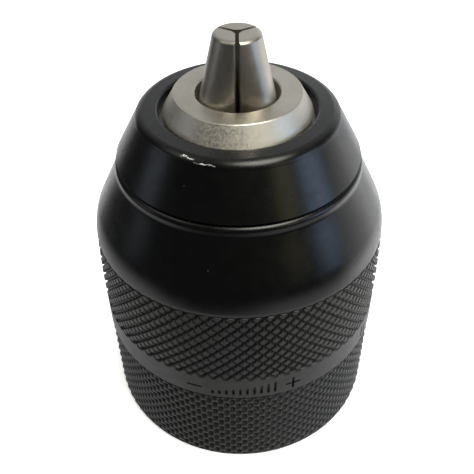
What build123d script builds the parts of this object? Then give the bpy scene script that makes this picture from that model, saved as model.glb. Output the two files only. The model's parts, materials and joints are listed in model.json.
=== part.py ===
from build123d import *
import math
import os

# Keyless drill chuck with a 10 mm grip, in millimetres.
# +Z runs along the spindle axis towards the jaws, and z = 0 is the rear face.
# The jaws are modelled closed. Turning the front sleeve about +Z draws them back and apart.

# ---- driving dimensions -------------------------------------------------------------
SLEEVE_R = 21.45           # of both grips and the plain band between them
NOSE_END = 53.35           # front face of the body
JAW_TIP = 61.3             # front of the closed jaws
JAW_ANGLE = 15.5           # slope of each jaw to the chuck axis, in degrees
JAW_R = 3.2                # round jaw blanks
JAW_CROSSING = -0.31       # distance of a jaw's axis from the chuck axis, at the tip
JAW_AZIMUTHS = (90, 210, 330)
GRIP = 10.0                # largest shank that the open jaws take
SMALLEST_SHANK = 1.0       # the gripping edges stop this far apart
JAW_GAP = 0.45             # between the flats of neighbouring jaws when they are closed
THREAD_PITCH = 1.5         # jaw travel for one turn of the nut, along the jaw
BORE_R = 5.64              # shank bore behind the nose
SPINDLE_PITCH = 25.4 / 24  # 3/8 in thread, 24 turns to the inch
SPINDLE_MINOR_R = 4.38
SPINDLE_MAJOR_R = 4.76
SPINDLE_DEPTH = 15.0
WEB_HOLE_R = 2.6           # for a retaining screw, between the two bores
FIT = 0.05                 # radial running clearance
GAP = 0.25                 # clear gap between turning and standing pieces
SEAM = 60                  # threaded pieces start here, clear of the starts of their helices

# ---- levels along the axis ----------------------------------------------------------
REAR_FLANGE_BACK = 3.4     # disc of the body that carries the rear sleeve
REAR_FLANGE_FRONT = 6.6
SPLIT = 15.75              # the rear sleeve stops here, and the front sleeve starts
KNURL_TOP = 32.6           # the smooth shoulder of the front sleeve starts here
THRUST_BACK = 17.2         # flange of the body behind the bearing
THRUST_FRONT = 20.0
RACE_THICKNESS = 1.5
NUT_BACK = 24.8
NUT_FRONT = 32.6
CAP_SEAT = 42.0            # shoulder of the body under the nose cap
CAP_RIM = 44.45            # lower edge of the nose cap
CAP_STEP = 49.4            # the cap's bore narrows here
NOSE_CONE_BACK = 50.75     # the cone of the nose starts here
CAP_TOP = 51.35
BORE_FLOOR = 20.5          # bottom of the shank bore

# ---- radii --------------------------------------------------------------------------
BOSS_R = 9.0               # rear end of the body, inside the dust cover
CORE_R = 16.8              # body behind the thrust flange
THRUST_R = 18.2
BEARING_SEAT_R = 14.95
NUT_GROOVE_R = 9.6
FRONT_R = 12.6             # body in front of the nut
CAP_SEAT_R = 11.2
NOSE_R = 10.0
NOSE_FACE_R = 8.55         # flat front of the nose
NUT_R = 16.2
COLLAR_R = 18.3
SHELL_R = 19.3             # inside of the rear sleeve
BEARING_BORE_R = 18.5      # inside of the front sleeve, around the bearing
RACE_R = 18.0
BALL_R = 1.05
BALL_COUNT = 24
BALL_CIRCLE_R = 16.55
CAP_BORE_R = 10.6

# ---- worked out from the above ------------------------------------------------------
SLOPE = math.tan(math.radians(JAW_ANGLE))
SIN_A = math.sin(math.radians(JAW_ANGLE))
COS_A = math.cos(math.radians(JAW_ANGLE))
JAW_TRAVEL = GRIP / 2 / SIN_A
BACK_RACE_FRONT = THRUST_FRONT + RACE_THICKNESS
FRONT_RACE_BACK = NUT_BACK - RACE_THICKNESS
BALL_LEVEL = (BACK_RACE_FRONT + FRONT_RACE_BACK) / 2

os.makedirs("parts", exist_ok=True)


def jaw_centre(z):
    """Distance of a closed jaw's axis from the chuck axis at height z."""
    return JAW_CROSSING + (JAW_TIP - z) * SLOPE


def jaw_outer(z):
    """Distance of a closed jaw's outer line from the chuck axis at height z."""
    return jaw_centre(z) + JAW_R / COS_A


def jaw_plane(z, azimuth=0):
    """Plane square to a jaw, on its axis at height z, facing the nose."""
    outward = Vector(1, 0, 0).rotate(Axis.Z, azimuth)
    up = Vector(0, 0, 1)
    return Plane(origin=outward * jaw_centre(z) + up * z, x_dir=up.cross(outward),
                 z_dir=up * COS_A - outward * SIN_A)


def axial_plane(azimuth=0):
    """Plane through the chuck axis. Local +X is outward at this azimuth, and +Y is up."""
    outward = Vector(1, 0, 0).rotate(Axis.Z, azimuth)
    return Plane(origin=(0, 0, 0), x_dir=outward, z_dir=outward.cross(Vector(0, 0, 1)))


def section(*points, azimuth=0):
    """Closed half section of a turned piece, from (radius, height) points."""
    with BuildSketch(axial_plane(azimuth)) as half:
        with BuildLine():
            Polyline(*points, close=True)
        make_face()
    return half.sketch


def save(piece, label):
    piece.part.label = label
    export_step(piece.part, f"parts/{label}.step")


# ---- body ---------------------------------------------------------------------------
# One turned piece: nose, jaw block, nut groove, thrust flange, core and rear flange.
PASSAGE_FLOOR = 7.6        # the jaw passages end here, measured on their own axes
SNAP_GROOVE = (44.6, 45.4)
SNAP_GROOVE_R = 10.8
CLIP_GROOVE = (0.6, 1.2)
CLIP_GROOVE_R = 8.4
CAP_RELIEF = 0.4           # the cap's seat stops this far short of the cap's step
NOSE_EDGE = 0.1            # broken edge round the flat front
BOSS_EDGE = 0.3
BORE_EDGE = 0.25
DRILL_CONES = (1.0, 2.0)   # the bore's floor slopes down to the web hole, and on to its point
SPINDLE_MOUTH_R = SPINDLE_MAJOR_R + 0.25
SPINDLE_MOUTH_DEPTH = 0.63
OUTSIDE = 0.1              # cutting sections reach this far past the faces that they open
GROOVE_OVERRUN = 0.15      # thread cutters run this far past the surface that they cut
SPINDLE_GROOVE_WIDTH = 0.44
SPINDLE_GROOVE_DEPTH = 0.33
SPINDLE_GROOVE_START = 0.2
SPINDLE_THREAD_LENGTH = SPINDLE_DEPTH - 1.5
FLANK = math.tan(math.radians(30))

# 60 degree groove of the spindle thread. Its flat crests stay at the minor radius.
spindle_helix = Helix(pitch=SPINDLE_PITCH, height=SPINDLE_THREAD_LENGTH, radius=SPINDLE_MINOR_R,
                      center=(0, 0, SPINDLE_GROOVE_START))
with BuildPart() as spindle_groove:
    floor_half = SPINDLE_GROOVE_WIDTH / 2 - SPINDLE_GROOVE_DEPTH * FLANK
    mouth_half = SPINDLE_GROOVE_WIDTH / 2 + GROOVE_OVERRUN * FLANK
    with BuildSketch(Plane(origin=spindle_helix @ 0, x_dir=(1, 0, 0), z_dir=spindle_helix % 0)):
        with BuildLine():
            Polyline((SPINDLE_GROOVE_DEPTH, -floor_half), (SPINDLE_GROOVE_DEPTH, floor_half),
                     (-GROOVE_OVERRUN, mouth_half), (-GROOVE_OVERRUN, -mouth_half), close=True)
        make_face()
    sweep(path=spindle_helix, is_frenet=True)

with BuildPart() as body:
    add(section(
        (0, 0), (BOSS_R - BOSS_EDGE, 0), (BOSS_R, BOSS_EDGE), (BOSS_R, CLIP_GROOVE[0]),
        (CLIP_GROOVE_R, CLIP_GROOVE[0]), (CLIP_GROOVE_R, CLIP_GROOVE[1]), (BOSS_R, CLIP_GROOVE[1]),
        (BOSS_R, REAR_FLANGE_BACK), (SHELL_R, REAR_FLANGE_BACK), (SHELL_R, REAR_FLANGE_FRONT),
        (CORE_R, REAR_FLANGE_FRONT), (CORE_R, THRUST_BACK), (THRUST_R, THRUST_BACK),
        (THRUST_R, THRUST_FRONT), (BEARING_SEAT_R, THRUST_FRONT), (BEARING_SEAT_R, NUT_BACK - GAP),
        (NUT_GROOVE_R, NUT_BACK - GAP), (NUT_GROOVE_R, NUT_FRONT + GAP), (FRONT_R, NUT_FRONT + GAP),
        (FRONT_R, CAP_SEAT), (CAP_SEAT_R, CAP_SEAT), (CAP_SEAT_R, SNAP_GROOVE[0]),
        (SNAP_GROOVE_R, SNAP_GROOVE[0]), (SNAP_GROOVE_R, SNAP_GROOVE[1]),
        (CAP_SEAT_R, SNAP_GROOVE[1]), (CAP_SEAT_R, CAP_STEP - CAP_RELIEF), (NOSE_R, CAP_STEP),
        (NOSE_R, NOSE_CONE_BACK), (NOSE_FACE_R, NOSE_END - NOSE_EDGE), (NOSE_FACE_R - NOSE_EDGE, NOSE_END),
        (0, NOSE_END),
    ))
    revolve(axis=Axis.Z)
    # shank bore with a drilled floor and a broken edge
    add(section((0, BORE_FLOOR - DRILL_CONES[1]), (WEB_HOLE_R, BORE_FLOOR - DRILL_CONES[0]),
                (BORE_R, BORE_FLOOR), (BORE_R, NOSE_END - BORE_EDGE + OUTSIDE),
                (BORE_R + BORE_EDGE, NOSE_END + OUTSIDE), (0, NOSE_END + OUTSIDE)))
    revolve(axis=Axis.Z, mode=Mode.SUBTRACT)
    # spindle hole with a countersunk mouth, and the hole through the web
    add(section((0, -OUTSIDE), (SPINDLE_MOUTH_R + OUTSIDE, -OUTSIDE),
                (SPINDLE_MINOR_R, SPINDLE_MOUTH_DEPTH), (SPINDLE_MINOR_R, SPINDLE_DEPTH),
                (WEB_HOLE_R, SPINDLE_DEPTH + DRILL_CONES[0]),
                (WEB_HOLE_R, BORE_FLOOR), (0, BORE_FLOOR), azimuth=SEAM))
    revolve(axis=Axis.Z, mode=Mode.SUBTRACT)
    add(spindle_groove.part, mode=Mode.SUBTRACT)
    for azimuth in JAW_AZIMUTHS:
        with BuildSketch(jaw_plane(PASSAGE_FLOOR, azimuth)):
            Circle(JAW_R + FIT)
        extrude(amount=(NOSE_END - PASSAGE_FLOOR) / COS_A + JAW_R, mode=Mode.SUBTRACT)

save(body, "body")

# ---- jaws ---------------------------------------------------------------------------
# Round blanks with two gripping flats at 120 degrees, and thread grooves on the outer side.
JAW_BACK = 26.2            # height of a jaw's rear end, on its own axis
JAW_EDGE = 0.2             # chamfer along the outer edges of the gripping flats
TIP_ROUND = 0.7
TIP_ROUND_LEVEL = JAW_TIP - TIP_ROUND
TIP_CUT_CLEAR = 0.02       # the rounding tool stays this far outside the jaws' outer lines
TIP_ROUND_CENTRE = jaw_outer(TIP_ROUND_LEVEL) + TIP_CUT_CLEAR - TIP_ROUND / COS_A
TIP_CUT_BACK = JAW_TIP - 3.5
TIP_CUT_FRONT = JAW_TIP + 5.0
TIP_CUT_R = 12.0
JAW_BACK_EDGE = 0.4
WEDGE_REACH = 3 * JAW_TIP  # the wedge that cuts the flats runs well past the blank
SHORTEST_FLAT = 5.0        # edges longer than this run along the flats

with BuildPart() as jaw_blank:
    with BuildSketch(jaw_plane(JAW_BACK)):
        Circle(JAW_R)
    extrude(amount=(JAW_TIP - JAW_BACK) / COS_A + JAW_R)
    chamfer(jaw_blank.edges().sort_by(Axis.Z)[0], JAW_BACK_EDGE)
    # the tips end square to the chuck axis, with a rounded rim
    with BuildSketch(Plane.XZ):
        with BuildLine():
            arc = CenterArc((TIP_ROUND_CENTRE, TIP_ROUND_LEVEL), TIP_ROUND, JAW_ANGLE, 90 - JAW_ANGLE)
            Polyline(arc @ 1, (0, JAW_TIP), (0, TIP_CUT_FRONT), (TIP_CUT_R, TIP_CUT_FRONT),
                     (TIP_CUT_R, TIP_CUT_BACK), (jaw_outer(TIP_CUT_BACK) + TIP_CUT_CLEAR, TIP_CUT_BACK),
                     arc @ 0)
        make_face()
    revolve(axis=Axis.Z, mode=Mode.SUBTRACT)
    # gripping flats, set back from the radial planes by half the gap, and a narrow land between
    with BuildSketch(Plane.XY.offset(JAW_BACK - JAW_R)):
        inner = SMALLEST_SHANK / 2
        inner_half = inner * math.sqrt(3) - JAW_GAP
        outer_half = WEDGE_REACH * math.sqrt(3) - JAW_GAP
        with BuildLine():
            Polyline((inner, inner_half), (WEDGE_REACH, outer_half), (WEDGE_REACH, -outer_half),
                     (inner, -inner_half), close=True)
        make_face()
    extrude(amount=JAW_TIP, mode=Mode.INTERSECT)
    flat_edges = jaw_blank.edges().filter_by(GeomType.ELLIPSE).filter_by(
        lambda edge: edge.length > SHORTEST_FLAT)
    chamfer(flat_edges, JAW_EDGE)

# The nut's thread lies on a cone that follows the outer lines of the closed jaws. A point on
# it is given by its distance along a jaw from the middle of the nut, and outward from the line.
# The thread is right-handed, so turning the nut about +Z draws the jaws back.
NUT_MIDDLE = (NUT_BACK + NUT_FRONT) / 2
RIDGE_HEIGHT = 0.72        # how far the nut's ridges reach inside the jaws' outer lines
RIDGE_ROOT = 0.23          # clearance from those lines to the bottom of the nut's grooves
RIDGE_WIDTHS = (0.38, 0.78)
TOOTH_DEPTH = 0.95         # of the grooves in the jaws
TOOTH_GAP = 0.3            # grooves are wider than ridges by this much
TURNS_AHEAD = 4            # the helix starts this far in front of the nut's middle
TEETH_AHEAD = 1.0          # fully open, the jaws still have teeth this far in front of the nut


def thread_point(along, outward):
    """Radius and height of a point beside the closed jaws' outer lines."""
    radius = jaw_outer(NUT_MIDDLE) - along * SIN_A + outward * COS_A
    height = NUT_MIDDLE + along * COS_A + outward * SIN_A
    return radius, height


LEAD = math.atan(THREAD_PITCH * COS_A / (2 * math.pi * jaw_outer(NUT_MIDDLE)))
RIDGE_TAPER = (RIDGE_WIDTHS[1] - RIDGE_WIDTHS[0]) / (RIDGE_HEIGHT + RIDGE_ROOT)

# one groove of a jaw: a ring about the chuck axis, tilted by the thread's lead
with BuildPart() as tooth_cutter:
    floor_half = (RIDGE_WIDTHS[0] + TOOTH_GAP) / 2
    mouth_half = floor_half + (TOOTH_DEPTH + TOOTH_GAP) * RIDGE_TAPER / 2
    add(section(thread_point(-floor_half, -TOOTH_DEPTH), thread_point(floor_half, -TOOTH_DEPTH),
                thread_point(mouth_half, TOOTH_GAP), thread_point(-mouth_half, TOOTH_GAP)))
    revolve(axis=Axis((0, 0, NUT_MIDDLE), (0, -math.sin(LEAD), math.cos(LEAD))))

FIRST_TOOTH = math.ceil((JAW_BACK - JAW_R - NUT_MIDDLE) / THREAD_PITCH)
LAST_TOOTH = math.floor(((NUT_FRONT + TEETH_AHEAD - NUT_MIDDLE) / COS_A + JAW_TRAVEL) / THREAD_PITCH)
for number, azimuth in enumerate(JAW_AZIMUTHS, start=1):
    turned = Location((0, 0, 0), (0, 0, azimuth))
    teeth = [(turn + azimuth / 360) * THREAD_PITCH for turn in range(FIRST_TOOTH, LAST_TOOTH + 1)]
    with BuildPart() as jaw:
        with Locations(turned):
            add(jaw_blank.part)
        with Locations(*[turned * Location((-SIN_A * along, 0, COS_A * along)) for along in teeth]):
            add(tooth_cutter.part, mode=Mode.SUBTRACT)
    save(jaw, f"jaw_{number}")

# ---- split nut ----------------------------------------------------------------------
# Two halves with a true conical thread.
HELIX_OVERRUN = 2.0

with BuildPart() as nut_blank:
    add(section((jaw_outer(NUT_BACK) - RIDGE_HEIGHT / COS_A, NUT_BACK), (NUT_R, NUT_BACK),
                (NUT_R, NUT_FRONT), (jaw_outer(NUT_FRONT) - RIDGE_HEIGHT / COS_A, NUT_FRONT),
                azimuth=SEAM))
    revolve(axis=Axis.Z)

# The helix runs backwards from azimuth 180, where a groove lies a whole number of turns ahead
# of the ridge at azimuth 0.
helix_radius, helix_front = thread_point(TURNS_AHEAD * THREAD_PITCH, -RIDGE_HEIGHT)
nut_helix = Helix(pitch=THREAD_PITCH, height=helix_front - NUT_BACK + HELIX_OVERRUN,
                  radius=helix_radius, center=(0, 0, helix_front), direction=(0, 0, -1),
                  cone_angle=JAW_ANGLE)
with BuildPart() as nut_groove:
    floor_half = (THREAD_PITCH - RIDGE_WIDTHS[1]) / 2
    mouth_half = (THREAD_PITCH - RIDGE_WIDTHS[0] + TOOTH_GAP * RIDGE_TAPER) / 2
    outward = Vector(-COS_A, 0, SIN_A)
    with BuildSketch(Plane(origin=nut_helix @ 0, x_dir=outward.cross(nut_helix % 0),
                           z_dir=nut_helix % 0)):
        with BuildLine():
            Polyline((-floor_half, RIDGE_HEIGHT + RIDGE_ROOT), (floor_half, RIDGE_HEIGHT + RIDGE_ROOT),
                     (mouth_half, -TOOTH_GAP), (-mouth_half, -TOOTH_GAP), close=True)
        make_face()
    sweep(path=nut_helix, is_frenet=True)

for side, direction in (("left", -1), ("right", 1)):
    with BuildPart() as nut_half:
        add(nut_blank.part)
        add(nut_groove.part, mode=Mode.SUBTRACT)
        split(bisect_by=Plane(origin=(direction * GAP / 2, 0, 0), z_dir=(direction, 0, 0)), keep=Keep.TOP)
    save(nut_half, f"nut_half_{side}")

# ---- collar that holds the halves together ------------------------------------------
COLLAR_FRONT = 33.0
KEY_COUNT = 3
KEY_WIDTH = 2.9
KEY_BACK = 31.4            # the sleeve's keys reach down to here, in the collar's slots
KEY_FLOOR_R = 17.2
KEY_AZIMUTH = 30
COLLAR_LIP_R = NUT_R - 0.5  # this lip stops the nut halves from moving forward

with BuildPart() as nut_collar:
    add(section((NUT_R, NUT_BACK), (COLLAR_R, NUT_BACK), (COLLAR_R, COLLAR_FRONT),
                (COLLAR_LIP_R, COLLAR_FRONT), (COLLAR_LIP_R, NUT_FRONT), (NUT_R, NUT_FRONT)))
    revolve(axis=Axis.Z)
    with Locations((0, 0, COLLAR_FRONT)):
        with PolarLocations(COLLAR_R, KEY_COUNT, start_angle=KEY_AZIMUTH):
            Box(2 * (COLLAR_R - KEY_FLOOR_R), KEY_WIDTH + 2 * FIT, 2 * (COLLAR_FRONT - KEY_BACK),
                mode=Mode.SUBTRACT)
save(nut_collar, "nut_collar")

# ---- thrust bearing -----------------------------------------------------------------
CAGE_THICKNESS = 0.9
CAGE_RADII = (15.2, 17.9)
POCKET_GAP = 0.08
RACE_EDGE = 0.15

for name, back, front, bore in (
    ("bearing_back_race", THRUST_FRONT, BACK_RACE_FRONT, BEARING_SEAT_R),
    ("bearing_front_race", FRONT_RACE_BACK, NUT_BACK, BEARING_SEAT_R + FIT),
):
    with BuildPart() as race:
        add(section((bore, back), (RACE_R, back), (RACE_R, front), (bore, front)))
        revolve(axis=Axis.Z)
        chamfer(race.edges().filter_by(GeomType.CIRCLE), RACE_EDGE)
        with BuildSketch(Plane.XZ):
            with Locations((BALL_CIRCLE_R, BALL_LEVEL)):
                Circle(BALL_R + FIT)
        revolve(axis=Axis.Z, mode=Mode.SUBTRACT)
    save(race, name)

with BuildPart() as bearing_cage:
    with BuildSketch(Plane.XY.offset(BALL_LEVEL - CAGE_THICKNESS / 2)):
        Circle(CAGE_RADII[1])
        Circle(CAGE_RADII[0], mode=Mode.SUBTRACT)
        with PolarLocations(BALL_CIRCLE_R, BALL_COUNT):
            Circle(BALL_R + POCKET_GAP, mode=Mode.SUBTRACT)
    extrude(amount=CAGE_THICKNESS)
save(bearing_cage, "bearing_cage")

with BuildPart() as bearing_balls:
    with Locations((0, 0, BALL_LEVEL)):
        with PolarLocations(BALL_CIRCLE_R, BALL_COUNT):
            Sphere(BALL_R)
save(bearing_balls, "bearing_balls")

# ---- front sleeve -------------------------------------------------------------------
# Turns on the body with the nut. Keys inside it engage the collar.
GRIP_TAPER = 0.25          # the grip narrows by this much towards the shoulder
TAPER_START = 26.0
UNDERCUT = 0.2             # depth of the groove between the grip and the shoulder
SHOULDER_R = 21.15
SHOULDER_ARC = 9.0
SHOULDER_SLOPE = 27.0      # degrees from the axis, where the arc meets the straight cone
SLEEVE_MOUTH = 44.2
MOUTH_R = 16.55
MOUTH_EDGE = ((17.2, 42.8), (17.05, 43.8), (16.8, SLEEVE_MOUTH))
SLEEVE_STEP_R = 17.6       # this step rests on the collar
SLEEVE_STEP_FRONT = 36.0
MOUTH_BACK = 39.5
SLEEVE_EDGE = 0.15
BEARING_BORE_EDGE = 0.2

with BuildPart() as front_sleeve:
    with BuildSketch(Plane.XZ):
        with BuildLine():
            shoulder = CenterArc((SHOULDER_R - SHOULDER_ARC, KNURL_TOP + UNDERCUT), SHOULDER_ARC,
                                 0, SHOULDER_SLOPE)
            Polyline(shoulder @ 1, *MOUTH_EDGE, (MOUTH_R, SLEEVE_MOUTH), (MOUTH_R, MOUTH_BACK),
                     (SLEEVE_STEP_R, SLEEVE_STEP_FRONT), (SLEEVE_STEP_R, COLLAR_FRONT),
                     (COLLAR_R, COLLAR_FRONT), (COLLAR_R, NUT_BACK),
                     (BEARING_BORE_R, NUT_BACK - BEARING_BORE_EDGE), (BEARING_BORE_R, SPLIT + GAP),
                     (SLEEVE_R - SLEEVE_EDGE, SPLIT + GAP), (SLEEVE_R, SPLIT + GAP + SLEEVE_EDGE),
                     (SLEEVE_R, TAPER_START), (SLEEVE_R - GRIP_TAPER, KNURL_TOP),
                     (SLEEVE_R - GRIP_TAPER - UNDERCUT, KNURL_TOP + UNDERCUT / 2), shoulder @ 0)
        make_face()
    revolve(axis=Axis.Z)
    with Locations((0, 0, (KEY_BACK + FIT + COLLAR_FRONT) / 2)):
        with PolarLocations((KEY_FLOOR_R + FIT + BEARING_BORE_R) / 2, KEY_COUNT, start_angle=KEY_AZIMUTH):
            Box(BEARING_BORE_R - KEY_FLOOR_R - FIT, KEY_WIDTH, COLLAR_FRONT - KEY_BACK - FIT)
save(front_sleeve, "front_sleeve")

# ---- rear sleeve, held on the body's rear flange ------------------------------------
REAR_EDGE = ((20.8, 0), (21.1, 0.25), (21.35, 0.9), (SLEEVE_R, 1.1))
COVER_FRONT = 2.0
COVER_BACK = 1.2
COVER_R = 17.3
COVER_EDGE = 0.2
SHELL_FLANGE_R = 14.0

with BuildPart() as rear_sleeve:
    add(section((COVER_R + FIT, 0), *REAR_EDGE, (SLEEVE_R, SPLIT - SLEEVE_EDGE),
                (SLEEVE_R - SLEEVE_EDGE, SPLIT), (SHELL_R, SPLIT), (SHELL_R, REAR_FLANGE_BACK),
                (SHELL_FLANGE_R, REAR_FLANGE_BACK), (SHELL_FLANGE_R, COVER_FRONT),
                (COVER_R + FIT, COVER_FRONT)))
    revolve(axis=Axis.Z)
save(rear_sleeve, "rear_sleeve")

# ---- dust cover and its circlip -----------------------------------------------------
with BuildPart() as dust_cover:
    add(section((BOSS_R + FIT, COVER_BACK), (COVER_R - COVER_EDGE, COVER_BACK),
                (COVER_R, COVER_BACK + COVER_EDGE), (COVER_R, COVER_FRONT), (BOSS_R + FIT, COVER_FRONT)))
    revolve(axis=Axis.Z)
save(dust_cover, "dust_cover")

CLIP_R = 10.0
CLIP_OPENING = 40          # degrees between the eyes
CLIP_EYE_R = 1.3
CLIP_EYE_HOLE_R = 0.6
CLIP_EYE_CIRCLE_R = 10.4
with BuildPart() as dust_cover_clip:
    add(section((CLIP_GROOVE_R, CLIP_GROOVE[0]), (CLIP_R, CLIP_GROOVE[0]), (CLIP_R, CLIP_GROOVE[1]),
                (CLIP_GROOVE_R, CLIP_GROOVE[1]), azimuth=CLIP_OPENING / 2))
    revolve(axis=Axis.Z, revolution_arc=360 - CLIP_OPENING)
    for sign in (-1, 1):
        eye = Vector(CLIP_EYE_CIRCLE_R, 0, CLIP_GROOVE[0]).rotate(Axis.Z, sign * CLIP_OPENING / 2)
        with BuildSketch(Plane(eye)):
            Circle(CLIP_EYE_R)
        extrude(amount=CLIP_GROOVE[1] - CLIP_GROOVE[0])
        with BuildSketch(Plane(eye)):
            Circle(CLIP_EYE_HOLE_R)
        extrude(amount=CLIP_GROOVE[1] - CLIP_GROOVE[0], mode=Mode.SUBTRACT)
save(dust_cover_clip, "dust_cover_clip")

# ---- nose cap and the ring that holds it --------------------------------------------
CAP_RIM_R = 16.85
CAP_SPIGOT_R = 16.2
CAP_SHOULDER = (13.75, 50.25)
CAP_SHOULDER_ROUND = 1.6
CAP_FACE = (12.6, CAP_TOP - 0.05)
CAP_RIM_ROUND = 0.35
CAP_EDGE = 0.15
CAP_HOLLOW = ((FRONT_R + 0.4, 47.0), (14.2, 47.0), (15.2, 45.0), (15.2, CAP_SEAT + 0.6))
SNAP_SEAT_R = CAP_SEAT_R + 0.45
SNAP_RING_R = CAP_SEAT_R + 0.4
SNAP_RING_ARC = 335

with BuildPart() as nose_cap:
    with BuildSketch(Plane.XZ):
        with BuildLine():
            inner_rim = CenterArc((CAP_BORE_R + CAP_RIM_ROUND, CAP_TOP - CAP_RIM_ROUND), CAP_RIM_ROUND,
                                  90, 90)
            shoulder = RadiusArc(CAP_SHOULDER, CAP_FACE, -CAP_SHOULDER_ROUND)
            Line(shoulder @ 1, inner_rim @ 0)
            Polyline(inner_rim @ 1, (CAP_BORE_R, CAP_STEP), (CAP_SEAT_R, CAP_STEP),
                     (CAP_SEAT_R, SNAP_GROOVE[1]), (SNAP_SEAT_R, SNAP_GROOVE[1]),
                     (SNAP_SEAT_R, SNAP_GROOVE[0]), (CAP_SEAT_R, SNAP_GROOVE[0]),
                     (CAP_SEAT_R, CAP_SEAT), (FRONT_R, CAP_SEAT), *CAP_HOLLOW,
                     (CAP_SPIGOT_R, CAP_HOLLOW[-1][1]), (CAP_SPIGOT_R, CAP_RIM),
                     (CAP_RIM_R - CAP_EDGE, CAP_RIM), (CAP_RIM_R, CAP_RIM + CAP_EDGE), shoulder @ 0)
        make_face()
    revolve(axis=Axis.Z)
save(nose_cap, "nose_cap")

with BuildPart() as cap_snap_ring:
    add(section((SNAP_GROOVE_R, SNAP_GROOVE[0] + FIT), (SNAP_RING_R, SNAP_GROOVE[0] + FIT),
                (SNAP_RING_R, SNAP_GROOVE[1] - FIT), (SNAP_GROOVE_R, SNAP_GROOVE[1] - FIT)))
    revolve(axis=Axis.Z, revolution_arc=SNAP_RING_ARC)
save(cap_snap_ring, "cap_snap_ring")

# ---- washer in front of the nut that keeps drilling dust off the thread -------------
WASHER_R = 17.2
WASHER_LEVELS = (33.9, 35.0)
WASHER_EDGE = 0.2

with BuildPart() as dust_washer:
    add(section((FRONT_R, WASHER_LEVELS[0]), (WASHER_R, WASHER_LEVELS[0]),
                (WASHER_R, WASHER_LEVELS[1]), (FRONT_R, WASHER_LEVELS[1])))
    revolve(axis=Axis.Z)
    chamfer(dust_washer.edges().filter_by(GeomType.CIRCLE).sort_by(SortBy.RADIUS)[-2:], WASHER_EDGE)
save(dust_washer, "dust_washer")

print(f"jaw travel {JAW_TRAVEL:.3f} mm, {JAW_TRAVEL / THREAD_PITCH:.3f} turns")
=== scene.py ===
"""Looks of the keyless drill chuck: knurled sleeves, finishes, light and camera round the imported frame."""

import json
import math

import bpy
import numpy as np
from mathutils import Matrix, Vector
from mathutils.geometry import delaunay_2d_cdt


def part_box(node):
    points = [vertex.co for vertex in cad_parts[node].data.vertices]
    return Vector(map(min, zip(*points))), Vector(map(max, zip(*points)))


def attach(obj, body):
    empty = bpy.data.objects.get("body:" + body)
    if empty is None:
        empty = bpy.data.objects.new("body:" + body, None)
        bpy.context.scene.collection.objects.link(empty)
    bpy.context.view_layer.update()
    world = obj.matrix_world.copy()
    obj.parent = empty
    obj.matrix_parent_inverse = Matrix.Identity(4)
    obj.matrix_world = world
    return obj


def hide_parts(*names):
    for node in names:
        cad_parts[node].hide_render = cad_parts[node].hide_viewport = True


MM = 0.001


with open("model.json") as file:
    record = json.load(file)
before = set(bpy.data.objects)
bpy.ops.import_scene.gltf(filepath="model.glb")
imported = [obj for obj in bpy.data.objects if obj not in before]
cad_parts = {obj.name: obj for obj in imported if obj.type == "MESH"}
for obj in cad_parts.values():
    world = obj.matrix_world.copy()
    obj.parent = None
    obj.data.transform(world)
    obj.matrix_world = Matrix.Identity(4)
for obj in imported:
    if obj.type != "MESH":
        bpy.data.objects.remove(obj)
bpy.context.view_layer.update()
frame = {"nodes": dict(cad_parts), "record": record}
nodes = frame["nodes"]
front_low, front_high = [Vector(corner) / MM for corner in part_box("front_sleeve")]
rear_high = Vector(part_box("rear_sleeve")[1]) / MM

# ---------------------------------------------------------------- knurl, in mm or in pitches
STARTS = 77  # knurl grooves round the sleeve, in each of the two helix families
CELL = 10  # mesh columns, and rows, in one knurl pitch
COLUMNS = STARTS * CELL
GRIP_R = min(front_high.x, front_high.y, rear_high.x, rear_high.y)  # never outside the CAD sleeves
PITCH = 2 * math.pi * GRIP_R / STARTS
ROW = PITCH / CELL
COLUMN_STEP = 2 * math.pi * GRIP_R / COLUMNS

GROOVE_DEPTH = 0.42  # front sleeve: raised diamonds between crossing grooves
GROOVE_FLOOR = 0.06  # half width of a groove's floor, in pitches
GROOVE_HALF = 0.2  # half width of its mouth, in pitches
PIT_DEPTH = 0.42  # rear sleeve: round pits between crossing ridges
PIT_RADIUS = 0.37  # in pitches
PIT_WALL = 0.22  # width of a pit's sloping wall, in pitches
RIDGE_DROP = 0.16  # the ridges sag by this much between their crossings
RIDGE_SPAN = 0.4  # and lie lowest from this far off a crossing, in pitches

# ---------------------------------------------------------------- sleeve outlines, in mm
REAR_TOP = rear_high.z
FRONT_BOTTOM = front_low.z
FRONT_TOP = front_high.z
BAND_BOTTOM = FRONT_BOTTOM + 0.2
BAND_TOP = 20.0
KNURL_TOP = 32.6
RUN_OUT = 0.5  # length over which the upper knurl deepens above the band
TAPER = 0.25  # the front grip narrows by this much towards its shoulder
TAPER_START = 26.0
EDGE = 0.05  # height of small broken edges
KNURL_CHAMFER = 0.09  # the upper knurl loses this much radius at its end
SHOULDER_START = KNURL_TOP + 0.06  # the smooth finish starts here

BEARING_BORE = 18.5  # inside of the front sleeve, from its foot to its mouth
COLLAR_BORE = 18.3
STEP_BORE = 17.6
MOUTH_BORE = 16.55
NUT_BACK = 24.8
BORE_EDGE = 0.2
COLLAR_FRONT = 33.0
STEP_FRONT = 36.0
MOUTH_BACK = 39.5
MOUTH_INSIDE = 43.0

# radius, and height above the sleeve's foot
FRONT_FOOT = ((BEARING_BORE, 0.05), (18.55, 0), (21.25, 0), (21.37, 0.05), (21.43, 0.12))
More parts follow.
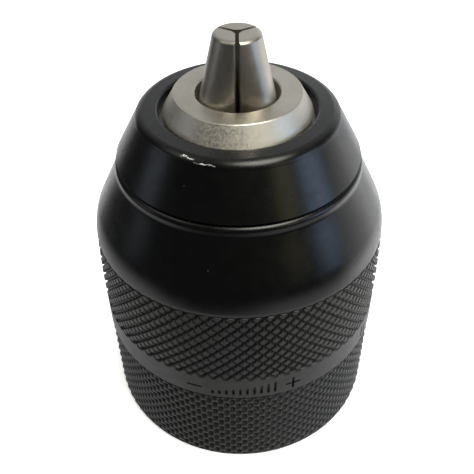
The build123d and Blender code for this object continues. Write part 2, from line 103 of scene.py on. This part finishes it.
# radius, and height above the knurl: the narrow groove under the shoulder
SHOULDER_LIP = ((20.93, 0.06), (20.9, 0.1), (20.93, 0.15), (21.04, 0.19), (21.12, 0.25))
SHOULDER_CENTRE = (12.15, KNURL_TOP + 0.28)
SHOULDER_ARC = 9.0
SHOULDER_ANGLES = (1.5, 27.0)
FRONT_CONE = ((19.45, 38.4), (18.72, 39.8), (18.0, 41.2), (17.28, 42.62), (17.18, 42.85), (17.14, 43.05))
MOUTH_ROUND = 0.8
MOUTH_CENTRE = (16.35, FRONT_TOP - MOUTH_ROUND)
MOUTH_ANGLES = (4, 75)

KEY_AZIMUTHS = (30, 150, 270)  # drive keys inside the front sleeve
KEY_HALF_WIDTH = 1.45
KEY_RADII = (17.25, 17.9)
KEY_LEVELS = (31.45, COLLAR_FRONT)

SHELL_BORE = 19.3
REAR_TOP_R = 21.3
# radius and height, from the flange's seat round the cover's recess to the rear face
REAR_INSIDE = ((SHELL_BORE, 3.4), (14.0, 3.4), (14.0, 2.0), (17.35, 2.0), (17.35, 0.1), (17.45, 0), (20.8, 0))
# height, and the largest radius of the knurl there
REAR_LIMIT = (
    (0, 20.8), (0.12, 20.98), (0.25, 21.1), (0.55, 21.22), (0.9, 21.35), (1.1, GRIP_R),
    (REAR_TOP - 0.15, GRIP_R), (REAR_TOP, REAR_TOP_R),
)

# ---------------------------------------------------------------- engraved marks, in mm
PATCH_MARGIN = 0.2
PATCH = (BAND_BOTTOM + PATCH_MARGIN, BAND_TOP - PATCH_MARGIN)  # the engraved windows reach from here to here
PATCH_ROWS = 13  # of mesh points inside a window
PATCH_CLEAR = 0.09  # those points stay this far from the marks
MARK_DEPTH = 0.38
MARK_STEP = 0.3  # longest mesh side along a mark
MARK_Z = 17.85
SCALE_AZIMUTH = -89.0
SCALE_COLUMNS = 48  # mesh columns on each side of the window's middle
INDEX_AZIMUTH = -29.0
INDEX_COLUMNS = 14
MARK_WIDTH = 0.36
SIGN_LENGTH = 2.3
SIGN_AT = 7.2  # distance of the plus and minus signs from the middle
TICKS = 10
FIRST_TICK = -4.5
TICK_FOOT = -1.1
TICK_HEIGHT = 0.7
TICK_RISE = 0.17  # each tick is taller than the last by this much
INDEX_AT = 0.5
WELD = 1e-5


def knurl_distance(i, z):
    """Distances of mesh column i and height z from the nearest line of each helix family, in pitches."""
    u = i / CELL
    v = z / PITCH
    return np.abs((u + v) - np.round(u + v)), np.abs((u - v) - np.round(u - v))


def smooth(t):
    t = np.clip(t, 0, 1)
    return t * t * (3 - 2 * t)


def diamonds(i, z):
    """Height of the front knurl, 0 on the diamonds and negative in the grooves."""
    a, b = knurl_distance(i, z)
    wall = GROOVE_HALF - GROOVE_FLOOR
    top = smooth((a - GROOVE_FLOOR) / wall) * smooth((b - GROOVE_FLOOR) / wall)
    fade = smooth((z - BAND_TOP) / RUN_OUT)
    return -GROOVE_DEPTH * (1 - top) * fade


def pits(i, z):
    """Height of the rear knurl, 0 where the ridges cross and negative in the round pits between them."""
    a, b = knurl_distance(i, z)
    off = np.hypot(0.5 - a, 0.5 - b)
    pit = smooth((PIT_RADIUS - off) / PIT_WALL)
    return -PIT_DEPTH * pit - RIDGE_DROP * smooth(np.maximum(a, b) / RIDGE_SPAN)


def crest(z):
    """Outer radius of the front grip."""
    share = (z - TAPER_START) / (KNURL_TOP - TAPER_START)
    return GRIP_R - TAPER * min(max(share, 0), 1)


def knurl_rows(low, high):
    """Numbers and heights of the whole mesh rows strictly between two heights."""
    first = math.floor(low / ROW) + 1
    last = math.ceil(high / ROW) - 1
    return [(j, j * ROW) for j in range(first, last + 1)]


# ---------------------------------------------------------------- mesh building
class Shell:
    """A closed mesh of revolution built ring by ring, with the same columns in every ring."""

    def __init__(self):
        self.points = []
        self.faces = []
        self.rings = []

    def ring(self, radius, z, row=None):
        """Adds a ring. radius is one number or one per column. row is the knurl row it lies on."""
        angle = 2 * np.pi * np.arange(COLUMNS) / COLUMNS
        r = np.broadcast_to(np.asarray(radius, float), (COLUMNS,))
        start = len(self.points)
        self.points.extend(np.stack([r * np.cos(angle), r * np.sin(angle), np.full(COLUMNS, z)], 1).tolist())
        self.rings.append((start, row))

    def outline(self, points):
        """Adds a plain ring for each (radius, height)."""
        for r, z in points:
            self.ring(r, z)

    def skin(self, first, second, skip=()):
        """Joins two rings. Between knurl rows, each quad is split along the crease that crosses it."""
        low, row = self.rings[first]
        high, next_row = self.rings[second]
        knurled = row is not None and next_row is not None
        for i in range(COLUMNS):
            if i in skip:
                continue
            k = (i + 1) % COLUMNS
            a, b, c, d = low + i, low + k, high + k, high + i
            if not knurled:
                self.faces.append((a, b, c, d))
            elif falls(i, row):
                self.faces.append((a, b, d))
                self.faces.append((b, c, d))
            else:
                self.faces.append((a, b, c))
                self.faces.append((a, c, d))

    def close(self, skip_after=None, skip=()):
        """Joins every ring to the next and the last to the first."""
        for n in range(len(self.rings)):
            gap = skip if n == skip_after else ()
            self.skin(n, (n + 1) % len(self.rings), gap)


def falls(i, row):
    """True where the knurl crease in this quad runs down to the right."""
    down = (i + row + 1) % CELL
    up = (i - row) % CELL
    if down == 0:
        return True
    if up == 0:
        return False
    return down in (1, CELL - 1) or up not in (1, CELL - 1)


def make_object(name, shell):
    """A Blender object from a shell, with edges steeper than 50 degrees left sharp."""
    mesh = bpy.data.meshes.new(name)
    mesh.from_pydata([[c * MM for c in p] for p in shell.points], [], shell.faces)
    mesh.validate()
    mesh.shade_smooth()
    mesh.set_sharp_from_angle(angle=math.radians(50))
    piece = bpy.data.objects.new(name, mesh)
    bpy.context.scene.collection.objects.link(piece)
    return piece


# ---------------------------------------------------------------- engraving
def bar(s, t, width, height):
    """A rectangle, centred on s, standing on t."""
    return [(s - width / 2, t), (s + width / 2, t), (s + width / 2, t + height), (s - width / 2, t + height)]


def plus(s):
    """A plus sign centred on s."""
    arm, half = SIGN_LENGTH / 2, MARK_WIDTH / 2
    corner = [(half, -arm), (half, -half), (arm, -half)]
    shape = []
    for _ in range(4):
        shape += [(s + x, y) for x, y in corner]
        corner = [(-y, x) for x, y in corner]
    return shape


def scale_marks():
    """Plain graduation: a minus sign, a rising row of ticks and a plus sign."""
    shapes = [bar(-SIGN_AT, -MARK_WIDTH / 2, SIGN_LENGTH, MARK_WIDTH), plus(SIGN_AT)]
    for k in range(TICKS):
        shapes.append(bar(FIRST_TICK + k, TICK_FOOT, MARK_WIDTH, TICK_HEIGHT + TICK_RISE * k))
    return shapes


def index_marks():
    return [bar(s, -SIGN_LENGTH / 2, MARK_WIDTH, SIGN_LENGTH) for s in (-INDEX_AT, INDEX_AT)]


def inside(shape, s, t):
    hit = False
    for (x1, y1), (x2, y2) in zip(shape, shape[1:] + shape[:1]):
        if (y1 > t) != (y2 > t) and s < (x2 - x1) * (t - y1) / (y2 - y1) + x1:
            hit = not hit
    return hit


def on_cylinder(point, radius):
    angle = point[0] / GRIP_R
    return [radius * math.cos(angle), radius * math.sin(angle), point[1]]


def loop_edges(start, count):
    return [(start + n, start + (n + 1) % count) for n in range(count)]


def along_outline(outline):
    """Points along a closed outline, at most MARK_STEP apart."""
    points = []
    for (x1, y1), (x2, y2) in zip(outline, outline[1:] + outline[:1]):
        parts = max(1, math.ceil(math.hypot(x2 - x1, y2 - y1) / MARK_STEP))
        points += [(x1 + (x2 - x1) * n / parts, y1 + (y2 - y1) * n / parts) for n in range(parts)]
    return points


def filler(first, last, marks):
    """Staggered points inside a window, clear of the marks' points."""
    spots = []
    for i in range(first + 1, last):
        for n in range(1, PATCH_ROWS):
            level = n + 0.5 * (i % 2) - 0.25
            spot = (i * COLUMN_STEP, PATCH[0] + (PATCH[1] - PATCH[0]) * level / PATCH_ROWS)
            if min(math.hypot(spot[0] - x, spot[1] - y) for x, y in marks) > PATCH_CLEAR:
                spots.append(spot)
    return spots


def sink(shell, triangles, points, top, outlines):
    """Adds a window's triangles. Those inside an outline lie on the marks' floor, with walls round them."""
    floor = {}
    sides = {}
    for triangle in triangles:
        x = sum(points[n][0] for n in triangle) / 3
        y = sum(points[n][1] for n in triangle) / 3
        if not any(inside(outline, x, y) for outline in outlines):
            shell.faces.append(tuple(top[n] for n in triangle))
            continue
        for n in triangle:
            if n not in floor:
                floor[n] = len(shell.points)
                shell.points.append(on_cylinder(points[n], GRIP_R - MARK_DEPTH))
        shell.faces.append(tuple(floor[n] for n in triangle))
        for n, m in zip(triangle, triangle[1:] + triangle[:1]):
            sides[(n, m)] = (m, n) not in sides
            if (m, n) in sides:
                sides[(m, n)] = False
    for (n, m), is_open in sides.items():
        if is_open:
            shell.faces.append((top[n], top[m], floor[m], floor[n]))


def engrave(shell, low_ring, shapes, azimuth, half_columns):
    """Fills a window of the band with a patch that has the shapes sunk into it. Returns its columns."""
    middle = round(azimuth / 360 * COLUMNS)
    first, last = middle - half_columns, middle + half_columns
    low = shell.rings[low_ring][0]
    high = shell.rings[low_ring + 1][0]
    border = [(i, PATCH[0], low) for i in range(first, last + 1)]
    border += [(i, PATCH[1], high) for i in range(last, first - 1, -1)]
    owner = [start + i % COLUMNS for i, _, start in border]
    flat = [(i * COLUMN_STEP, z) for i, z, _ in border]
    edges = loop_edges(0, len(flat))
    centre = azimuth / 360 * COLUMNS * COLUMN_STEP
    outlines = [[(centre + s, MARK_Z + t) for s, t in shape] for shape in shapes]
    for outline in outlines:
        marks = along_outline(outline)
        edges += loop_edges(len(flat), len(marks))
        flat += marks
    flat += filler(first, last, flat[len(border):])
    points, _, triangles, sources, _, _ = delaunay_2d_cdt([Vector(p) for p in flat], edges, [], 0, WELD)
    top = []
    for point, source in zip(points, sources):
        held = [owner[n] for n in source if n < len(owner)]
        if held:
            top.append(held[0])
            continue
        top.append(len(shell.points))
        shell.points.append(on_cylinder(point, GRIP_R))
    sink(shell, triangles, points, top, outlines)
    return [i % COLUMNS for i in range(first, last)]


# ---------------------------------------------------------------- the two sleeves
def arc(centre, radius, angles, steps):
    """Points (r, z) on an arc between two angles, in degrees from the +r axis."""
    start, end = angles
    turns = [math.radians(start + (end - start) * n / steps) for n in range(steps + 1)]
    return [(centre[0] + radius * math.cos(t), centre[1] + radius * math.sin(t)) for t in turns]


def key(shell, azimuth):
    """One of the drive keys inside the front sleeve."""
    inner, outer = KEY_RADII
    turn = Matrix.Rotation(math.radians(azimuth), 3, "Z")
    start = len(shell.points)
    for z in KEY_LEVELS:
        for r, side in ((inner, -1), (outer, -1), (outer, 1), (inner, 1)):
            shell.points.append(list(turn @ Vector((r, side * KEY_HALF_WIDTH, z))))
    for quad in ((3, 2, 1, 0), (4, 5, 6, 7), (0, 1, 5, 4), (1, 2, 6, 5), (2, 3, 7, 6), (3, 0, 4, 7)):
        shell.faces.append(tuple(start + n for n in quad))


def front_sleeve():
    columns = np.arange(COLUMNS)
    shell = Shell()
    shell.ring(BEARING_BORE, NUT_BACK - BORE_EDGE)
    shell.outline((r, FRONT_BOTTOM + rise) for r, rise in FRONT_FOOT)
    shell.outline((GRIP_R, z) for z in (BAND_BOTTOM, BAND_BOTTOM + PATCH_MARGIN / 2))
    window = len(shell.rings)
    shell.outline((GRIP_R, z) for z in (*PATCH, BAND_TOP - PATCH_MARGIN / 2, BAND_TOP))
    for row, z in knurl_rows(BAND_TOP, KNURL_TOP):
        shell.ring(crest(z) + diamonds(columns, z), z, row)
    top = crest(KNURL_TOP)
    end = top + diamonds(columns, KNURL_TOP)
    shell.ring(end, KNURL_TOP)
    shell.ring(np.minimum(end, top - KNURL_CHAMFER), KNURL_TOP + EDGE)
    shell.outline((r, KNURL_TOP + rise) for r, rise in SHOULDER_LIP)
    shell.outline(arc(SHOULDER_CENTRE, SHOULDER_ARC, SHOULDER_ANGLES, 18))
    shell.outline(FRONT_CONE)
    shell.outline(arc(MOUTH_CENTRE, MOUTH_ROUND, MOUTH_ANGLES, 12))
    shell.outline(((MOUTH_BORE, MOUTH_INSIDE), (MOUTH_BORE, MOUTH_BACK), (STEP_BORE, STEP_FRONT)))
    shell.outline(((STEP_BORE, COLLAR_FRONT), (COLLAR_BORE, COLLAR_FRONT), (COLLAR_BORE, NUT_BACK)))
    gaps = engrave(shell, window, scale_marks(), SCALE_AZIMUTH, SCALE_COLUMNS)
    gaps += engrave(shell, window, index_marks(), INDEX_AZIMUTH, INDEX_COLUMNS)
    shell.close(skip_after=window, skip=set(gaps))
    for azimuth in KEY_AZIMUTHS:
        key(shell, azimuth)
    return make_object("front_sleeve_knurled", shell)


def rear_sleeve():
    columns = np.arange(COLUMNS)
    heights, radii = zip(*REAR_LIMIT)
    shell = Shell()
    shell.outline(REAR_INSIDE)
    for row, z in knurl_rows(0.0, REAR_TOP - EDGE):
        limit = float(np.interp(z, heights, radii))
        shell.ring(np.minimum(GRIP_R + pits(columns, z), limit), z, row)
    shell.ring(np.minimum(GRIP_R + pits(columns, REAR_TOP), REAR_TOP_R), REAR_TOP)
    shell.outline(((SHELL_BORE + EDGE, REAR_TOP), (SHELL_BORE, REAR_TOP - EDGE)))
    shell.close()
    return make_object("rear_sleeve_knurled", shell)


# ---------------------------------------------------------------- material helpers
class Graph:
    """Short ways to add and join shader nodes."""

    def __init__(self, name):
        self.material = bpy.data.materials.new(name)
        self.material.use_nodes = True
        self.tree = self.material.node_tree
        self.shader = self.tree.nodes["Principled BSDF"]
        self.place = self.add("ShaderNodeTexCoord").outputs["Object"]

    def add(self, kind, **settings):
        node = self.tree.nodes.new(kind)
        for name, value in settings.items():
            setattr(node, name, value)
        return node

    def feed(self, socket, value):
        if isinstance(value, bpy.types.NodeSocket):
            self.tree.links.new(value, socket)
        else:
            socket.default_value = value

    def math(self, operation, *values):
        node = self.add("ShaderNodeMath", operation=operation)
        for socket, value in zip(node.inputs, values):
            self.feed(socket, value)
        return node.outputs[0]

    def times(self, first, second):
        return self.math("MULTIPLY", first, second)

    def split(self):
        """The x, y and z of the place being shaded, in metres."""
        node = self.add("ShaderNodeSeparateXYZ")
        self.feed(node.inputs[0], self.place)
        return node.outputs

    def noise(self, scale, detail, rough, at=None):
        node = self.add("ShaderNodeTexNoise")
        self.feed(node.inputs["Vector"], self.place if at is None else at)
        node.inputs["Scale"].default_value = scale
        node.inputs["Detail"].default_value = detail
        node.inputs["Roughness"].default_value = rough
        return node.outputs[0]

    def remap(self, value, old, new, soft=False):
        """Maps the range old to the range new, and stays at its ends beyond them."""
        node = self.add("ShaderNodeMapRange", interpolation_type="SMOOTHSTEP" if soft else "LINEAR")
        for name, number in zip(("From Min", "From Max", "To Min", "To Max"), (*old, *new)):
            node.inputs[name].default_value = number
        self.feed(node.inputs["Value"], value)
        return node.outputs[0]

    def mix(self, share, first, second):
        node = self.add("ShaderNodeMix", data_type="RGBA")
        self.feed(node.inputs[0], share)
        for socket, value in zip(node.inputs[6:8], (first, second)):
            self.feed(socket, value if isinstance(value, bpy.types.NodeSocket) else (*value, 1.0))
        return node.outputs[2]

    def bump(self, *layers):
        """Bump from (height, distance in metres, strength) layers."""
        normal = None
        for height, distance, strength in layers:
            node = self.add("ShaderNodeBump")
            node.inputs["Strength"].default_value = strength
            node.inputs["Distance"].default_value = distance
            self.feed(node.inputs["Height"], height)
            if normal is not None:
                self.feed(node.inputs["Normal"], normal)
            normal = node.outputs[0]
        self.feed(self.shader.inputs["Normal"], normal)

    def set(self, **values):
        for name, value in values.items():
            self.feed(self.shader.inputs[name.replace("_", " ")], value)

    def radius(self):
        """Distance from the chuck's axis."""
        x, y, _ = self.split()
        return self.math("SQRT", self.math("ADD", self.times(x, x), self.times(y, y)))

    def turned(self):
        """Coordinates that hardly change round the axis, for marks left by turning."""
        x, y, z = self.split()
        around = self.math("DIVIDE", self.math("ARCTAN2", y, x), 40000)
        node = self.add("ShaderNodeCombineXYZ")
        for socket, value in zip(node.inputs, (self.radius(), around, z)):
            self.feed(socket, value)
        return node.outputs[0]


def mm(*values):
    """Lengths in mm as metres."""
    return [value * MM for value in values]


def shade(tint, share):
    return tuple(c * share for c in tint)


# ---------------------------------------------------------------- black finishes
MATTE_TINT = (0.019, 0.02, 0.0185)
GLOSS_TINT = (0.0022, 0.0024, 0.0023)
RUBBED = (0.07, 0.073, 0.067)
SPECK = (0.25, 0.25, 0.23)
SCRATCHED = (0.8, 0.8, 0.78)
PAINTED_SHADE_RADII = (21.1, 21.42)  # radii over which the painted shade in the hollows fades out towards the plain crest, in mm
CRESTS = (21.36, 21.44)  # radii over which the crests turn rubbed
LAND = (33.0, 33.6)  # the matt finish gives way to the shoulder's gloss between these heights
# azimuth and half length in degrees, height and half width in mm
CAP_SCRATCHES = ((-117.5, 4.5, 51.0, 0.06), (-109.0, 5.0, 50.75, 0.07), (-103.5, 2.2, 50.66, 0.07))


def scratch(g, azimuth, half_angle, height, half_width):
    """Mask of a short scratch round the axis, broken up by noise. Angles in degrees, lengths in mm."""
    x, y, z = g.split()
    along = g.math("ABSOLUTE", g.math("SUBTRACT", g.math("ARCTAN2", y, x), math.radians(azimuth)))
    wander = g.remap(g.noise(700, 2, 0.5), (0.3, 0.7), mm(-0.12, 0.12))
    across = g.math("ABSOLUTE", g.math("SUBTRACT", g.math("ADD", z, wander), height * MM))
    fade = (math.radians(half_angle * 0.6), math.radians(half_angle))
    ends = g.remap(along, fade, (1, 0), soft=True)
    sides = g.remap(across, mm(half_width * 0.4, half_width), (1, 0), soft=True)
    patchy = g.remap(g.noise(3500, 2, 0.6), (0.42, 0.58), (0.15, 1))
    return g.times(g.times(ends, sides), patchy)


def knurl_wear_and_painted_shade(g, colour, tint):
    """Painted shade darkening the knurl's hollows and the engraved marks' floors, and patchily rubbed crests
    from wear.
    """
    taper = g.remap(g.split()[2], mm(TAPER_START, KNURL_TOP), mm(0, TAPER))
    radius = g.math("ADD", g.radius(), taper)
    # Painted shade: the deeper the surface lies, in the knurl's hollows and the marks' floors, the darker its
    # colour.
    painted_hollow_shade = g.remap(radius, mm(*PAINTED_SHADE_RADII), (1, 0), soft=True)
    colour = g.mix(g.times(painted_hollow_shade, 0.8), colour, shade(tint, 0.15))
    crests = g.remap(radius, mm(*CRESTS), (0, 1))
    patchy = g.remap(g.noise(900, 3, 0.6), (0.4, 0.8), (0, 0.35))
    return g.mix(g.times(crests, patchy), colour, RUBBED)


def black_finish(name, tint, rough, knurled=False, land=None, scratches=()):
    """Satin black oxide: faint cloudy tone, fine grain and a few pale specks.
    land is the height range, in mm, over which the matt knurl finish gives way to this one."""
    g = Graph(name)
    grain = g.noise(9000, 2, 0.7)
    cloud = g.remap(g.noise(140, 3, 0.6), (0.3, 0.7), (0, 1))
    colour = g.mix(cloud, shade(tint, 0.7), shade(tint, 1.35))
    colour = g.mix(g.remap(grain, (0.55, 0.8), (0, 0.5)), colour, shade(tint, 2.2))
    # A knurled finish gets painted shade in its hollows as well as worn crests.
    if knurled:
        colour = knurl_wear_and_painted_shade(g, colour, tint)
    speck = g.remap(g.noise(1900, 1, 0.4), (0.8, 0.84), (0, 0.3))
    colour = g.mix(speck, colour, SPECK)
    roughness = g.remap(g.noise(600, 3, 0.6), (0.25, 0.75), (rough - 0.04, rough + 0.05))
    if land:
        share = g.remap(g.split()[2], mm(*land), (1, 0), soft=True)
        colour = g.mix(share, colour, MATTE_TINT)
        roughness = g.math("ADD", roughness, g.times(share, 0.12))
    for mark in scratches:
        colour = g.mix(scratch(g, *mark), colour, SCRATCHED)
    g.set(Base_Color=colour, Roughness=roughness)
    g.bump((grain, 0.00001, 0.2), (g.noise(2500, 2, 0.5), 0.00002, 0.08))
    return g.material


# ---------------------------------------------------------------- steel
STAIN = (0.32, 0.25, 0.16)
GRIT_EDGE = 0.12  # the grit fades out over this height, in mm


def steel(name, tint, rough, lines=True, stain_share=0.25, metal=1.0, grit=None):
    """Bright metal with fine turning lines round the axis, cloudy tone and slight brown staining.
    grit is the height, in mm, below which the surface is left coarser and paler."""
    g = Graph(name)
    marks = g.noise(9000, 3, 0.65, at=g.turned() if lines else None)
    colour = g.mix(g.remap(marks, (0.3, 0.7), (0.3, 0.8)), shade(tint, 0.72), tint)
    patches = g.remap(g.noise(1300, 3, 0.65), (0.45, 0.75), (0, 0.3))
    colour = g.mix(patches, colour, shade(tint, 0.8))
    cloud = g.remap(g.noise(220, 3, 0.6), (0.5, 0.75), (0, stain_share))
    colour = g.mix(cloud, colour, STAIN)
    roughness = g.remap(g.noise(1500, 3, 0.6), (0.25, 0.75), (rough - 0.05, rough + 0.07))
    layers = [(marks, 0.00001, 0.12), (g.noise(2600, 3, 0.6), 0.00002, 0.22)]
    if grit:
        coarse = g.remap(g.split()[2], mm(grit - GRIT_EDGE, grit), (1, 0))
        colour = g.mix(g.times(coarse, 0.7), colour, shade(tint, 1.25))
        speckle = g.remap(g.noise(4300, 3, 0.65), (0.35, 0.65), (-0.04, 0.24))
        roughness = g.math("ADD", roughness, g.times(coarse, speckle))
        layers.append((g.times(coarse, g.noise(5200, 2, 0.6)), 0.00001, 0.5))
    g.set(Base_Color=colour, Metallic=metal, Roughness=roughness)
    g.bump(*layers)
    return g.material


# ---------------------------------------------------------------- light, floor and camera
# azimuth, elevation, inner and outer angle in degrees, colour
PANELS = (
    (85, 38, 15, 62, (0.5, 0.51, 0.51)),
    (-17, 12, 5, 18, (1.5, 1.95, 2.7)),
    (-46, 18, 3, 13, (1.0, 0.9, 0.5)),
    (14, -14, 10, 30, (0.9, 0.9, 0.88)),
    (-176, 9, 4, 15, (0.6, 0.68, 0.8)),
    (-170, 50, 6, 22, (0.9, 0.88, 0.8)),
    (-52, 62, 7, 24, (8.2, 8.0, 7.1)),
    (35, -38, 15, 45, (0.35, 0.35, 0.35)),
    (62, -8, 14, 48, (0.6, 0.62, 0.64)),
    (112, -14, 10, 30, (0.7, 0.7, 0.7)),
)
GROUND = (0, -90, 58, 77, (0.66, 0.66, 0.66))
DARK_FRONT = (-112, -9, 17, 55, (0.95, 0.95, 0.95))
BASE_LIGHT = (0.05, 0.05, 0.05)
BACKDROP_STRENGTH = 1.1


def toward(azimuth, elevation):
    a, e = math.radians(azimuth), math.radians(elevation)
    return Vector((math.cos(e) * math.cos(a), math.cos(e) * math.sin(a), math.sin(e)))


def vector_math(tree, operation, *values):
    node = tree.nodes.new("ShaderNodeVectorMath")
    node.operation = operation
    for socket, value in zip(node.inputs, values):
        if isinstance(value, bpy.types.NodeSocket):
            tree.links.new(value, socket)
        else:
            socket.default_value = value
    return node


def panel(tree, azimuth, elevation, inner, outer, colour):
    """A soft round light in the world: full inside the inner angle, nothing beyond the outer one."""
    sight = tree.nodes.new("ShaderNodeTexCoord").outputs["Generated"]
    dot = vector_math(tree, "DOT_PRODUCT", sight, toward(azimuth, elevation).normalized())
    ramp = tree.nodes.new("ShaderNodeMapRange")
    ramp.interpolation_type = "SMOOTHSTEP"
    ramp.inputs["From Min"].default_value = math.cos(math.radians(outer))
    ramp.inputs["From Max"].default_value = math.cos(math.radians(inner))
    tree.links.new(dot.outputs["Value"], ramp.inputs["Value"])
    scale = vector_math(tree, "SCALE", colour)
    tree.links.new(ramp.outputs["Result"], scale.inputs["Scale"])
    return scale.outputs["Vector"]


def studio_light(tree):
    """What the chuck sees of the studio, as a colour for each direction."""
    total, *others = [panel(tree, *numbers) for numbers in PANELS]
    for light in others:
        total = vector_math(tree, "ADD", total, light).outputs["Vector"]
    # Below the horizon the pale floor shines up, except in front, where the room is dark.
    ground = panel(tree, *GROUND)
    keep = vector_math(tree, "SUBTRACT", (1, 1, 1), panel(tree, *DARK_FRONT)).outputs["Vector"]
    lit = vector_math(tree, "MULTIPLY_ADD", ground, keep, total).outputs["Vector"]
    return vector_math(tree, "ADD", lit, BASE_LIGHT).outputs["Vector"]


def add_world():
    """The camera sees a plain white backdrop, and everything else sees the studio."""
    world = bpy.data.worlds.new("studio")
    bpy.context.scene.world = world
    world.use_nodes = True
    tree = world.node_tree
    tree.nodes.clear()
    studio = tree.nodes.new("ShaderNodeBackground")
    tree.links.new(studio_light(tree), studio.inputs["Color"])
    backdrop = tree.nodes.new("ShaderNodeBackground")
    backdrop.inputs["Color"].default_value = (1, 1, 1, 1)
    backdrop.inputs["Strength"].default_value = BACKDROP_STRENGTH
    path = tree.nodes.new("ShaderNodeLightPath")
    choose = tree.nodes.new("ShaderNodeMixShader")
    tree.links.new(path.outputs["Is Camera Ray"], choose.inputs[0])
    tree.links.new(studio.outputs[0], choose.inputs[1])
    tree.links.new(backdrop.outputs[0], choose.inputs[2])
    out = tree.nodes.new("ShaderNodeOutputWorld")
    tree.links.new(choose.outputs[0], out.inputs["Surface"])


def add_lamp():
    """A soft disc above and behind the chuck, which lights it but isn't mirrored in it."""
    place, target = Vector((0.05, 0.1, 0.32)), Vector((0, 0, 0.03))
    light = bpy.data.lights.new("top_soft", "AREA")
    light.shape = "DISK"
    light.size = 0.25
    light.energy = 0.6
    light.color = (1.0, 0.99, 0.97)
    lamp = bpy.data.objects.new("top_soft", light)
    lamp.location = place
    lamp.rotation_euler = (target - place).to_track_quat("-Z", "Y").to_euler()
    lamp.visible_glossy = False
    bpy.context.scene.collection.objects.link(lamp)


def add_floor():
    """A pale floor just under the chuck. Its light on the chuck comes from the world instead."""
    size = 1.5
    mesh = bpy.data.meshes.new("floor")
    corners = [(-size, -size, 0), (size, -size, 0), (size, size, 0), (-size, size, 0)]
    mesh.from_pydata(corners, [], [(0, 1, 2, 3)])
    floor = bpy.data.objects.new("floor", mesh)
    floor.location.z = -0.00002
    floor.visible_glossy = False
    floor.visible_diffuse = False
    bpy.context.scene.collection.objects.link(floor)
    g = Graph("pale_floor")
    g.set(Base_Color=g.mix(g.noise(30, 2, 0.5), (0.9, 0.9, 0.9), (0.93, 0.93, 0.93)), Roughness=0.9)
    g.set(Emission_Color=(1, 1, 1, 1), Emission_Strength=0.55)
    mesh.materials.append(g.material)


def add_camera():
    """The camera looks down at the chuck from the front at about 41 degrees."""
    tilt, distance, height = 0.72388, 101.224 * MM, 27.881 * MM
    yaw, roll = 0.0037334, -0.0120687
    forward = Vector((0, math.cos(tilt), -math.sin(tilt)))
    up = Vector((0, math.sin(tilt), math.cos(tilt)))
    right = Vector((1, 0, 0))
    side = right * math.cos(yaw) + forward * math.sin(yaw)
    look = forward * math.cos(yaw) - right * math.sin(yaw)
    x_axis = side * math.cos(roll) + up * math.sin(roll)
    y_axis = up * math.cos(roll) - side * math.sin(roll)
    data = bpy.data.cameras.new("camera")
    data.lens = 49.335
    data.sensor_width = 36.0
    data.clip_start = 0.005
    camera = bpy.data.objects.new("camera", data)
    axes = Matrix((x_axis, y_axis, -look)).transposed()
    place = Vector((0, 0, height)) - forward * distance
    camera.matrix_world = Matrix.Translation(place) @ axes.to_4x4()
    bpy.context.scene.collection.objects.link(camera)
    bpy.context.scene.camera = camera


# ---------------------------------------------------------------- finishes on the pieces
KNURL_BLACK = black_finish("knurl_black", MATTE_TINT, 0.38, knurled=True)
SHOULDER_BLACK = black_finish("shoulder_black", GLOSS_TINT, 0.26, land=LAND)
NOSE_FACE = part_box("body")[1][2] / MM
FINISH = {
    "ground_steel": steel("ground_steel", (0.64, 0.61, 0.545), 0.4, grit=NOSE_FACE),
    "jaw_steel": steel("jaw_steel", (0.58, 0.545, 0.48), 0.36, lines=False),
    "nut_steel": steel("nut_steel", (0.4, 0.39, 0.37), 0.35),
    "race_steel": steel("race_steel", (0.6, 0.6, 0.6), 0.18),
    "ball_steel": steel("ball_steel", (0.7, 0.7, 0.7), 0.1, lines=False, stain_share=0.05),
    "cage_brass": steel("cage_brass", (0.62, 0.45, 0.2), 0.35, stain_share=0.15),
    "cover_steel": steel("cover_steel", (0.45, 0.45, 0.44), 0.38),
    "spring_steel": steel("spring_steel", (0.16, 0.16, 0.17), 0.35, lines=False),
    "washer_fibre": steel("washer_fibre", (0.2, 0.1, 0.06), 0.8, lines=False, metal=0.0),
    "black_cap": black_finish("cap_black", GLOSS_TINT, 0.26, scratches=CAP_SCRATCHES),
    "black_sleeve": KNURL_BLACK,
}

for part in frame["record"]["subparts"]:
    mesh = nodes[part["node"]].data
    mesh.materials.clear()
    mesh.materials.append(FINISH[part["material_slot"]])

grip = front_sleeve()
grip.data.materials.append(KNURL_BLACK)
grip.data.materials.append(SHOULDER_BLACK)
for face in grip.data.polygons:
    face.material_index = 1 if face.center.z > SHOULDER_START * MM else 0
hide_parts("front_sleeve")
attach(grip, "sleeve")

rear = rear_sleeve()
rear.data.materials.append(KNURL_BLACK)
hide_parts("rear_sleeve")
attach(rear, "body")

add_world()
add_floor()
add_lamp()
add_camera()
bpy.context.scene.view_settings.view_transform = "Standard"
